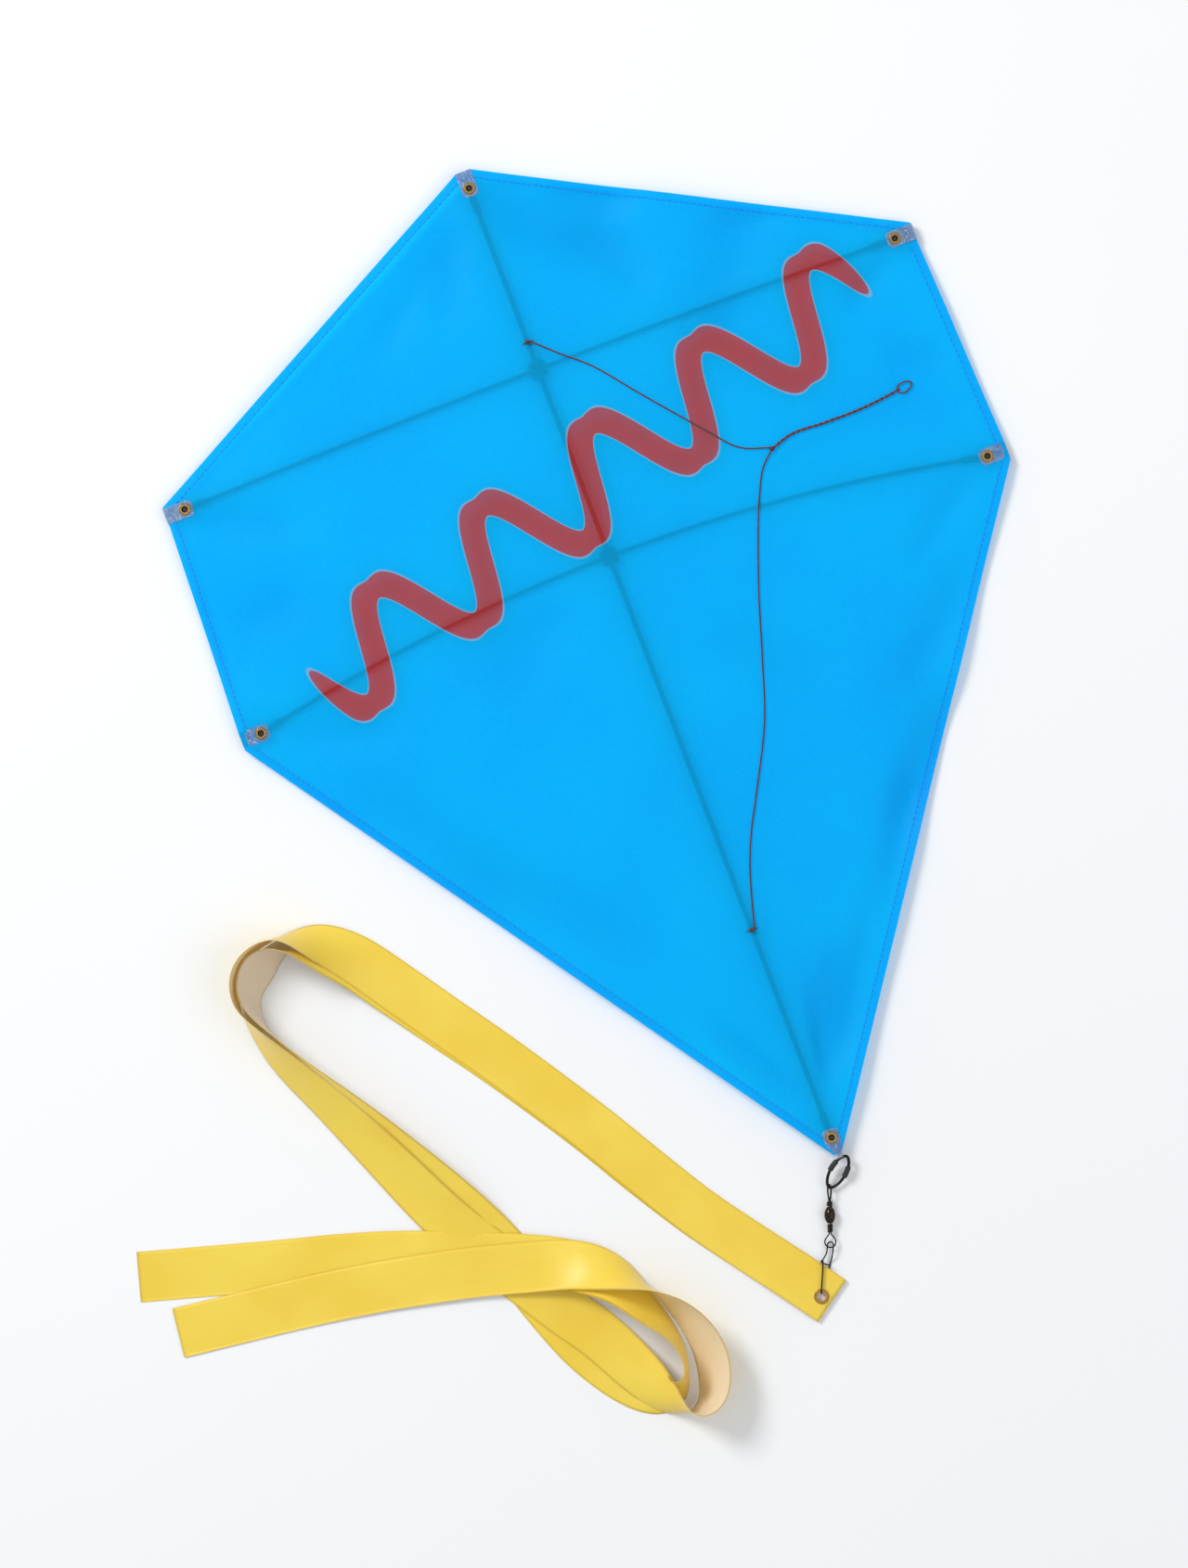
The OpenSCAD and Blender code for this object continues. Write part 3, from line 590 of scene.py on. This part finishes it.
def sail_material(name, doubled):
    """Sheer woven cloth. The doubled hem lets less light through."""
    n = Nodes(name)
    place = n.place()
    colour = sail_colour(n, place)
    if doubled:
        colour = n.mix(0.5, colour, rgb(0, 216, 255))
    parts = n.node("SeparateXYZ", {"Vector": place})
    warp = n.math("SINE", n.math("MULTIPLY", parts.outputs[0], 2 * math.pi / (0.45 * MM)))
    weft = n.math("SINE", n.math("MULTIPLY", parts.outputs[1], 2 * math.pi / (0.45 * MM)))
    weave = n.bump(n.math("MULTIPLY", warp, weft), 0.00002, 0.5)
    crinkle = n.bump(n.noise(70, place, 4, 0.6), 0.0009, 0.55, weave)
    cloth = n.principled(Base_Color=colour, Roughness=0.5, Sheen_Weight=0.03, Sheen_Roughness=0.4,
                         Specular_IOR_Level=0.14, Normal=crinkle)
    glow = n.node("BsdfTranslucent", {"Color": colour, "Normal": crinkle})
    clear = n.node("BsdfTransparent", {"Color": n.mix(0.5, colour, rgb(20, 250, 255))})
    body = n.node("MixShader", {0: 0.5 if doubled else 0.34, 1: cloth.outputs[0], 2: glow.outputs[0]})
    sheer = n.node("MixShader", {0: 0.45 if doubled else 0.36, 1: body.outputs[0], 2: clear.outputs[0]})
    return n.finish(sheer.outputs[0])


SAIL = sail_material("sail_cloth", False)
HEM = sail_material("sail_hem_cloth", True)


def half_width(y):
    """Half width of the sail at y."""
    for a, b in zip(HALF_OUTLINE, HALF_OUTLINE[1:]):
        if a.y >= y >= b.y and a.y > b.y:
            return a.x + (b.x - a.x) * (a.y - y) / (a.y - b.y)
    return HALF_OUTLINE[-1].x


def sail_rows(step):
    ys = [p.y for p in HALF_OUTLINE]
    rows = []
    for high, low in zip(ys, ys[1:]):
        count = max(1, round((high - low) / step))
        rows += [high - (high - low) * k / count for k in range(count)]
    return rows + [ys[-1]]


def add_sail():
    step = 4 * MM
    columns = 150
    rows = sail_rows(step)
    verts, crease_shade_uvs = [], []
    for y in rows:
        w = half_width(y)
        for k in range(columns + 1):
            x = w * (2 * k / columns - 1)
            verts.append(Vector((x, y, cloth_z(x, y))))
            # Painted shade: the crease depth goes into the uv layer, and the sail's colour darkens by it
            crease_shade_uvs.append((min(crease_depth(x / MM, y / MM) / 4, 1), 0))
    width = columns + 1
    faces = []
    for i in range(len(rows) - 1):
        for k in range(columns):
            a = i * width + k
            faces.append((a, a + width, a + width + 1, a + 1))
    made = mesh_object("sail_sheet", verts, faces, [SAIL], uvs=crease_shade_uvs)
    for eyelet in ("nose", "tail", "upper_left", "upper_right", "lower_left", "lower_right"):
        open_hole(made, middle(eyelet + "_eyelet"), 3.6 * MM)
    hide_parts("sail")
    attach(made, "kite")


add_sail()


def outline_loop():
    """The whole outline, clockwise from the nose's right end."""
    right = [Vector((p.x, p.y)) for p in HALF_OUTLINE]
    left = [Vector((-p.x, p.y)) for p in reversed(right)]
    return right + left


def inset_loop(loop, distance):
    """Each edge moved inwards, and the corners where the moved edges meet."""
    out = []
    n = len(loop)
    for i in range(n):
        u = (loop[i] - loop[i - 1]).normalized()
        v = (loop[(i + 1) % n] - loop[i]).normalized()
        p = loop[i] + distance * Vector((u.y, -u.x))
        q = loop[i] + distance * Vector((v.y, -v.x))
        cross = u.x * v.y - u.y * v.x
        out.append(p + u * ((q.x - p.x) * v.y - (q.y - p.y) * v.x) / cross)
    return out


HEM_W = 6.5 * MM


def add_hem():
    """The folded edge: a round fold outside and a second layer underneath."""
    loop = outline_loop()
    inner = inset_loop(loop, HEM_W)
    # Share of the hem's width from the edge, and drop below the cloth in millimetres
    sections = [
        (-0.0, 0.02), (-0.035, -0.12), (-0.045, -0.3), (-0.03, -0.5),
        (0.06, -0.62), (0.4, -0.62), (0.8, -0.62), (1.0, -0.6)
    ]
    rings = []
    n = len(loop)
    for i in range(n):
        a, b = loop[i], loop[(i + 1) % n]
        c, d = inner[i], inner[(i + 1) % n]
        if (b - a).length < 7 * MM:
            c = d = (c + d) / 2
        count = max(2, round((b - a).length / (4 * MM)))
        for k in range(count):
            t = k / count
            outer = a.lerp(b, t)
            inward = c.lerp(d, t) - outer
            ring = []
            for share, drop in sections:
                at = outer + inward * share
                base = cloth_z(outer.x, outer.y) if share < 0 else cloth_z(at.x, at.y)
                ring.append(Vector((at.x, at.y, base + drop * MM)))
            rings.append(ring)
    size = len(sections)
    verts = [p for ring in rings for p in ring]
    faces = []
    for i in range(len(rings)):
        low = i * size
        high = (i + 1) % len(rings) * size
        for j in range(size - 1):
            faces.append((low + j, low + j + 1, high + j + 1, high + j))
    made = mesh_object("sail_hem_fold", verts, faces, [HEM])
    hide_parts("sail_hem")
    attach(made, "kite")


add_hem()


def thread_material():
    n = Nodes("hem_thread")
    place = n.place()
    colour = n.mix(n.noise(1500, place), rgb(0, 74, 150), rgb(0, 104, 190))
    return n.finish(n.principled(Base_Color=colour, Roughness=0.5, Sheen_Weight=0.2).outputs[0])


def add_stitches():
    """A running stitch just inside the hem's inner edge."""
    random.seed(5)
    loop = inset_loop(outline_loop(), HEM_W - 0.9 * MM)
    pitch = 4.6 * MM
    parts = []
    for a, b in zip(loop, loop[1:] + loop[:1]):
        length = (b - a).length
        if length < 8 * MM:
            continue
        way = (b - a) / length
        for k in range(int(length / pitch)):
            start = a + way * (k + 0.25) * pitch
            line = []
            wobble = random.uniform(-0.12, 0.12) * MM
            for s in range(6):
                at = start + way * (s / 5 * 2.7 * MM) + Vector((way.y, -way.x)) * wobble
                lift = 0.22 * math.sin(math.pi * s / 5) - 0.02
                line.append(Vector((at.x, at.y, cloth_z(at.x, at.y) + lift * MM)))
            parts.append(tube_data(line, 0.2 * MM, 6))
    verts, faces = joined(parts)
    made = mesh_object("hem_stitches", verts, faces, [thread_material()])
    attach(made, "kite")


add_stitches()


# ---------------------------------------------------------------- materials of the CAD pieces

def rod_material():
    n = Nodes("rod_fibre")
    parts = n.node("SeparateXYZ", {"Vector": n.place()})
    drawn = n.node("CombineXYZ", {"X": n.math("MULTIPLY", parts.outputs[0], 900.0),
                                  "Y": n.math("MULTIPLY", parts.outputs[1], 60.0),
                                  "Z": n.math("MULTIPLY", parts.outputs[2], 900.0)}).outputs[0]
    grain = n.noise(1.0, drawn, 3)
    colour = n.mix(grain, rgb(20, 20, 22), rgb(46, 46, 50))
    return n.finish(n.principled(Base_Color=colour, Roughness=0.38, Coat_Weight=0.3,
                                 Normal=n.bump(grain, 0.0001, 0.4)).outputs[0])


def moulded_material(name, dark, light):
    n = Nodes(name)
    place = n.place()
    pits = n.noise(2600, place, 2)
    colour = n.mix(n.noise(160, place), dark, light)
    rough = n.mapped(n.noise(300, place), 0.3, 0.7, 0.42, 0.6)
    plastic = n.principled(Base_Color=colour, Roughness=rough, Normal=n.bump(pits, 0.00008, 0.5))
    return n.finish(plastic.outputs[0])


def brass_material(name, bright, dark, rough):
    """Metal bright on raised rims, partly rubbed wear and partly a painted highlight; darker and rougher
    in patches.
    """
    n = Nodes(name)
    place = n.place()
    edge = n.node("NewGeometry").outputs["Pointiness"]
    # Painted highlight, with wear on the brass: raised rims get the bright colour
    rim_wear_and_highlight = n.mapped(edge, 0.5, 0.62)
    patches = n.mapped(n.noise(700, place, 4, 0.6), 0.4, 0.62)
    colour = n.mix(n.math("MAXIMUM", rim_wear_and_highlight, n.math("MULTIPLY", patches, 0.45)), dark, bright)
    roughness = n.mapped(patches, 0, 1, rough + 0.14, rough)
    scratches = n.bump(n.noise(2400, place, 3), 0.00005, 0.4)
    metal = n.principled(Base_Color=colour, Metallic=1.0, Roughness=roughness, Normal=scratches)
    return n.finish(metal.outputs[0])


def vinyl_material(name, milk):
    """Clear soft vinyl with a faint milky bloom and pale crease lines."""
    n = Nodes(name)
    place = n.place()
    veins = n.node("TexNoise", {"Scale": 85.0, "Vector": place, "Detail": 1.0, "Distortion": 1.6})
    from_vein = n.math("ABSOLUTE", n.math("SUBTRACT", veins.outputs["Fac"], 0.5))
    crease = n.mapped(from_vein, 0.012, 0.0, 0.0, 0.45)
    cloud = n.mapped(n.noise(120, place), 0.35, 0.75, milk * 0.5, milk * 1.4)
    haze = n.math("MINIMUM", n.math("ADD", crease, cloud), 0.85)
    ripple = n.bump(n.noise(130, place, 2), 0.0005, 0.4)
    gloss = n.principled(Base_Color=rgb(214, 226, 240), Roughness=0.22, Specular_IOR_Level=0.6,
                         Normal=ripple)
    clear = n.node("BsdfTransparent", {"Color": rgb(236, 242, 248)})
    sheen = n.node("BsdfGlossy", {"Color": (1, 1, 1, 1), "Roughness": 0.16, "Normal": ripple})
    rim = n.node("Fresnel", {"IOR": 1.45, "Normal": ripple}).outputs[0]
    see = n.node("MixShader", {0: rim, 1: clear.outputs[0], 2: sheen.outputs[0]})
    return n.finish(n.node("MixShader", {0: haze, 1: see.outputs[0], 2: gloss.outputs[0]}).outputs[0])


def wear(material, *names):
    """Gives CAD nodes their finished material."""
    for name in names:
        for slot in NODES[name].material_slots:
            slot.link = "OBJECT"
            slot.material = material


CORNERS = ["upper_left", "upper_right", "lower_left", "lower_right"]
wear(rod_material(), "spine", "upper_spar", "lower_spar")
BLACK = moulded_material("moulded_black", rgb(18, 18, 20), rgb(34, 34, 37))
wear(BLACK, "upper_saddle", "lower_saddle", "nose_cap", "tail_cap", *[c + "_cap" for c in CORNERS])
ANTIQUE = brass_material("antique_brass", rgb(214, 180, 112), rgb(122, 92, 48), 0.24)
wear(ANTIQUE, "nose_eyelet", "tail_eyelet", *[c + "_eyelet" for c in CORNERS])
GOLD = brass_material("gilt_brass", rgb(222, 176, 98), rgb(132, 92, 44), 0.2)
wear(GOLD, "tail_grommet")
# On the black pieces the bright colour is a painted highlight on their rims
BLACK_NICKEL = brass_material("black_nickel", rgb(74, 66, 61), rgb(20, 17, 17), 0.24)
GLOSS = brass_material("black_gloss", rgb(110, 94, 82), rgb(18, 16, 16), 0.12)
VINYL = vinyl_material("clear_vinyl", 0.16)
wear(VINYL, "nose_tab", "tail_tab", *[c + "_tab" for c in CORNERS])


# ---------------------------------------------------------------- tail fitting

def add_fitting(name, node, body, parts, material):
    verts, faces = joined(parts)
    made = mesh_object(name, verts, faces, [material])
    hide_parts(node)
    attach(made, body)


def frame_at(origin, heading):
    """Frame in millimetres whose X runs along the heading, level with the floor."""
    turn = math.atan2(heading[1], heading[0])
    return Matrix.Translation(Vector(origin) * MM) @ Matrix.Rotation(turn, 4, "Z") @ Matrix.Scale(MM, 4)


def coil(start, end, radius, turns):
    """Points of a close coil round X."""
    out = []
    count = int(turns * 20)
    for i in range(count + 1):
        a = 2 * math.pi * i / 20
        along = start + (end - start) * i / count
        out.append(Vector((along, radius * math.cos(a), radius * math.sin(a))))
    return out


def rounded(count, radius, tip, shoulder):
    """Radii in metres along a piece whose two ends are rounded."""
    thick = [radius * MM] * count
    for i, share in ((0, tip), (1, shoulder), (-1, tip), (-2, shoulder)):
        thick[i] *= share
    return thick


def wire(frame_of, points, radius, sides=12, closed=False):
    """A wire through points of a frame, with rounded ends when it is open."""
    line = [frame_of @ p for p in points]
    thick = [radius * MM] * len(line) if closed else rounded(len(line), radius, 0.45, 0.85)
    return tube_data(line, thick, sides, closed)


RING_FRAME = (Matrix.Translation(Vector((1.2, -350.5, 9.825)) * MM)
              @ Matrix.Rotation(math.radians(15.672), 4, "X") @ Matrix.Translation((0, -6 * MM, 0))
              @ Matrix.Rotation(math.radians(42), 4, "Z") @ Matrix.Scale(MM, 4))
RING_MID = -7.8
RING_LONG = 13.8
RING_HALF = 6.1


def ring_point(degrees):
    """A point of the ring, a lens with soft tips. Zero is the tip in the tab's fold."""
    a = math.radians(degrees)
    side = math.copysign(abs(math.sin(a)) ** 1.2, math.sin(a))
    return Vector((RING_MID + RING_LONG * math.cos(a), RING_HALF * side, 0))


def add_ring():
    points = [ring_point(i * 360 / 120) for i in range(120)]
    add_fitting("split_ring", "tail_ring", "tail_ring",
                [wire(RING_FRAME, points, 1.15, 14, True)], BLACK_NICKEL)
    sleeves = []
    for sign in (1, -1):
        line = [RING_FRAME @ ring_point(sign * (58 + i * 2)) for i in range(21)]
        sleeves.append(tube_data(line, rounded(len(line), 2.1, 0.6, 0.9), 16))
    add_fitting("ring_joint_sleeves", "ring_sleeves", "tail_ring", sleeves, BLACK)


SWIVEL_FRAME = frame_at((-14.852, -370.193, 4.3), (-0.3387, -0.9409))
BARREL_AT = 20.8
EYE_LEAN = math.radians(55)


def eye_points(outline, lean):
    """A wire eye from half of its outline, leaned about X."""
    half = [Vector((x, w * math.cos(lean), w * math.sin(lean))) for x, w in outline]
    other = [Vector((x, -w * math.cos(lean), -w * math.sin(lean))) for x, w in reversed(outline[:-1])]
    return smooth_route([tuple(p) for p in half + other], 0.35)


def add_swivel():
    stem = [Vector((x, 0, 0)) for x in (8.6, 12, 15, 16.2)]
    upper_half = [(11.4, 0.5), (9, 0.8), (6, 1.5), (3, 2.0), (0, 2.0), (-1.6, 1.2), (-2.1, 0)]
    upper = eye_points(upper_half, EYE_LEAN)
    add_fitting("upper_wire_eye", "swivel_upper_eye", "swivel_upper_eye",
                [wire(SWIVEL_FRAME, upper, 0.65), wire(SWIVEL_FRAME, stem, 0.6),
                 wire(SWIVEL_FRAME, coil(10.6, 14.2, 1.7, 3), 0.6)], BLACK_NICKEL)
    profile = smooth_route([(-6.1, 1.2), (-6.1, 1.9), (-5.2, 2.6), (-3.8, 3.4), (-2, 4.0), (0, 4.2),
                            (2, 4.0), (3.8, 3.4), (5.2, 2.6), (6.1, 1.9), (6.1, 1.2)], 9)
    line = [SWIVEL_FRAME @ Vector((BARREL_AT + p.x, 0, 0)) for p in profile]
    thick = [p.y * MM for p in profile]
    # Points in the same place move a hair apart, so that every ring of the barrel has a heading
    for i in range(1, len(line)):
        if (line[i] - line[i - 1]).length < 0.01 * MM:
            line[i] = line[i - 1] + SWIVEL_FRAME.to_3x3() @ Vector((0.01, 0, 0))
    add_fitting("barrel_body", "swivel_barrel", "swivel_barrel",
                [tube_data(line, thick, 40)], GLOSS)
    lower_half = [
        (33, 0.5), (35.2, 0.9), (37, 2.3), (39.4, 3.8), (41.6, 4.15), (43.8, 3.13), (44.9, 1.6), (45.2, 0)
    ]
    lower = eye_points(lower_half, 0)
    stem = [Vector((x, 0, 0)) for x in (25.4, 28, 31, 34)]
    add_fitting("lower_wire_eye", "swivel_lower_eye", "swivel_lower_eye",
                [wire(SWIVEL_FRAME, lower, 0.52), wire(SWIVEL_FRAME, stem, 0.6),
                 wire(SWIVEL_FRAME, coil(27.6, 33.4, 1.55, 4.6), 0.6)], BLACK_NICKEL)


SNAP_FRAME = frame_at((-29.655, -411.309, 4.3), (-0.521, -0.8536))


def add_snap():
    roll = math.radians(35)
    reach = 2.65
    bend = []
    for degrees in range(0, 181, 30):
        a = math.radians(degrees)
        bend.append((-reach * math.sin(a), -reach * math.cos(a) * math.cos(roll),
                     -reach * math.cos(a) * math.sin(roll)))
    start = [(15, 3.2, -0.1), (14.2, -3, -0.1), (13, -4.6, -0.1), (11, -3.4, -0.1), (6, -1.7, -1.52)]
    end = [
        (7, 2.8, -0.6), (13, 2.7, -3.4), (20, 2.4, -3.6), (32, 0.6, -3.6), (36.2, 0, -3.4),
        (36.8, 0, -2.8), (36.8, 0, -0.1)
    ]
    add_fitting("snap_bent_wire", "snap_wire", "snap",
                [wire(SNAP_FRAME, smooth_route(start + bend + end, 0.5), 0.56)], BLACK_NICKEL)
    arm_route = [(37.1, 0, 1.1), (34, -0.5, 1.1), (20, -2.2, 1.1), (13, -3.4, 1.1), (11.6, -3.6, 1.1)]
    arm = smooth_route(arm_route, 0.8)
    add_fitting("snap_spring_arm", "snap_arm", "snap_arm",
                [wire(SNAP_FRAME, arm, 0.62)], BLACK_NICKEL)


add_ring()
add_swivel()
add_snap()


# ---------------------------------------------------------------- knots, ties and the loop

def knot_line(centre, size, tilt):
    """A closed trefoil, the shape of a pulled-up overhand knot."""
    points = []
    for i in range(72):
        t = 2 * math.pi * i / 72
        p = Vector((math.sin(t) + 2 * math.sin(2 * t), math.cos(t) - 2 * math.cos(2 * t),
                    -math.sin(3 * t)))
        p = Vector((p.x / 3, p.y / 3, p.z / 1.6)) * size
        points.append(centre + Matrix.Rotation(tilt, 3, "X") @ p)
    return points


def add_knot(name, node, size, tilt):
    points = knot_line(middle(node), size, tilt)
    verts, faces = strands_data(points, CORD_D * 0.5, 3, 2.6 * MM, closed=True)
    made = mesh_object(name, verts, faces, [CORD])
    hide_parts(node)
    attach(made, "kite")


add_knot("upper_knot", "upper_leg_knot", 1.5 * MM, 0.6)
add_knot("lower_knot", "lower_leg_knot", 1.5 * MM, 0.9)
add_knot("joining_knot", "bridle_knot", 1.6 * MM, 0.3)


def add_tie(name, node):
    """A ring of twisted cord round the spine."""
    low, high = (Vector(v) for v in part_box(node))
    centre = (low + high) / 2
    radius = (high.x - low.x) / 2 - CORD_D / 2
    points = [centre + radius * Vector((math.cos(a), 0, math.sin(a)))
              for a in [2 * math.pi * i / 90 for i in range(90)]]
    verts, faces = strands_data(points, CORD_D / 2, 3, 2.6 * MM, closed=True)
    made = mesh_object(name, verts, faces, [CORD])
    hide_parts(node)
    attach(made, "kite")


add_tie("upper_tie_loop", "upper_bridle_tie")
add_tie("lower_tie_loop", "lower_bridle_tie")


def add_tow_loop():
    """The oval loop at the end of the doubled line."""
    centre = middle("tow_loop")
    points = []
    for i in range(96):
        a = 2 * math.pi * i / 96
        flat = Vector((6.0 * math.cos(a), 3.6 * math.sin(a) * (1 - 0.25 * math.cos(a)), 0)) * MM
        points.append(centre + Matrix.Rotation(math.radians(12), 3, "Z") @ flat)
    verts, faces = strands_data(points, CORD_D * 0.5, 3, 2.6 * MM, closed=True)
    made = mesh_object("towing_loop", verts, faces, [CORD])
    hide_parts("tow_loop")
    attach(made, "kite")


add_tow_loop()


# ---------------------------------------------------------------- floor and light

def add_floor():
    n = Nodes("pale_floor")
    place = n.place()
    colour = n.mix(n.noise(1.2, place, 2), rgb(235, 236, 237), rgb(230, 231, 233))
    floor = n.finish(n.principled(Base_Color=colour, Roughness=0.7).outputs[0])
    size = 6
    corners = [(-size, -size, 0), (size, -size, 0), (size, size, 0), (-size, size, 0)]
    made = mesh_object("floor", corners, [(0, 1, 2, 3)], [floor], smooth=False)


def add_area(name, right, up, height, size, power):
    """A soft box at a place given in picture directions, aimed at the kite."""
    data = bpy.data.lights.new(name, "AREA")
    data.shape = "SQUARE"
    data.size = size
    data.energy = power
    lamp = bpy.data.objects.new(name, data)
    at = right * PICTURE_RIGHT + up * PICTURE_UP + Vector((0, 0, height))
    lamp.matrix_world = Matrix.Translation(at) @ (-at).to_track_quat("-Z", "Y").to_matrix().to_4x4()
    bpy.context.collection.objects.link(lamp)


def add_world():
    world = bpy.data.worlds.new("studio")
    world.use_nodes = True
    world.node_tree.nodes["Background"].inputs["Color"].default_value = (0.96, 0.98, 1.0, 1)
    world.node_tree.nodes["Background"].inputs["Strength"].default_value = 0.62
    bpy.context.scene.world = world


add_floor()
add_area("key_light", -2.6, 2.0, 3.0, 1.4, 132)
add_area("fill_light", 1.8, -0.6, 2.4, 2.2, 18)
add_world()
bpy.context.scene.view_settings.view_transform = "Standard"
